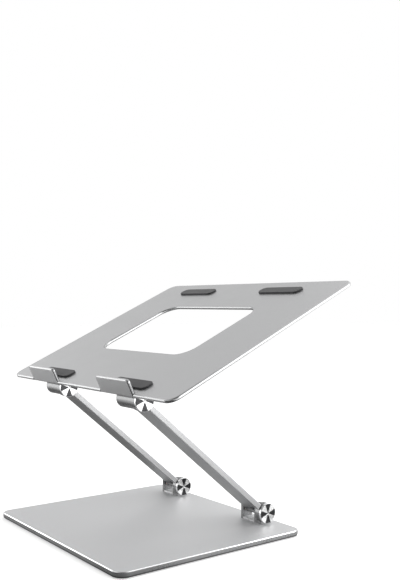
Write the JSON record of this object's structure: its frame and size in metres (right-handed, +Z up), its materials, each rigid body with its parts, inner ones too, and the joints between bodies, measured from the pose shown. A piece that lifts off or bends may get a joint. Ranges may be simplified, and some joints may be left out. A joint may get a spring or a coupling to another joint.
{
  "type": "laptop stand",
  "caption": "Folding aluminium laptop stand: flat base, twin friction-hinged arms and a tilting tray with front hooks.",
  "frame": {"origin": "on the desk, at the centre of the stand's footprint box in the raised rest pose", "axes": "+X to the right along the hinge axes, +Y to the rear, away from the person at the laptop, +Z up"},
  "size_m": [0.28, 0.2268, 0.2272],
  "materials": {
    "anodised_aluminium": "bead-blasted, silver anodised",
    "polished_aluminium": "turned and polished",
    "steel": "brushed",
    "nylon": "matte",
    "silicone": "matte"
  },
  "bodies": {
    "base": {"base_plate": "anodised_aluminium", "base_foot_front_left": "silicone", "base_foot_front_right": "silicone", "base_foot_rear_left": "silicone", "base_foot_rear_right": "silicone", "lower_bracket_left": "anodised_aluminium", "lower_pin_left": "steel", "lower_ear_washer_left": "nylon", "lower_boss_washer_left": "nylon", "lower_spring_washer_left": "steel", "lower_lock_nut_left": "steel", "lower_cap_left": "polished_aluminium", "lower_screw_inner_left": "steel", "lower_screw_outer_left": "steel", "lower_bracket_right": "anodised_aluminium", "lower_pin_right": "steel", "lower_ear_washer_right": "nylon", "lower_boss_washer_right": "nylon", "lower_spring_washer_right": "steel", "lower_lock_nut_right": "steel", "lower_cap_right": "polished_aluminium", "lower_screw_inner_right": "steel", "lower_screw_outer_right": "steel"},
    "arms": {"arm_left": "anodised_aluminium", "arm_right": "anodised_aluminium"},
    "tray": {"tray_plate": "anodised_aluminium", "tray_pad_front_left": "silicone", "tray_pad_front_right": "silicone", "tray_pad_rear_left": "silicone", "tray_pad_rear_right": "silicone", "hook_pad_left": "silicone", "hook_pad_right": "silicone", "upper_bracket_left": "anodised_aluminium", "upper_pin_left": "steel", "upper_ear_washer_left": "nylon", "upper_boss_washer_left": "nylon", "upper_spring_washer_left": "steel", "upper_lock_nut_left": "steel", "upper_cap_left": "polished_aluminium", "upper_screw_inner_left": "steel", "upper_screw_outer_left": "steel", "upper_bracket_right": "anodised_aluminium", "upper_pin_right": "steel", "upper_ear_washer_right": "nylon", "upper_boss_washer_right": "nylon", "upper_spring_washer_right": "steel", "upper_lock_nut_right": "steel", "upper_cap_right": "polished_aluminium", "upper_screw_inner_right": "steel", "upper_screw_outer_right": "steel"}
  },
  "joints": [
    {"name": "arm_fold", "type": "hinge", "parent": "base", "child": "arms", "pos_m": [0, 0.06259, 0.0156], "axis": [-1, 0, 0], "range_deg": [-40, 25]},
    {"name": "tray_tilt", "type": "hinge", "parent": "arms", "child": "tray", "pos_m": [0, -0.0707, 0.12745], "axis": [1, 0, 0], "range_deg": [-65, 25]}
  ]
}
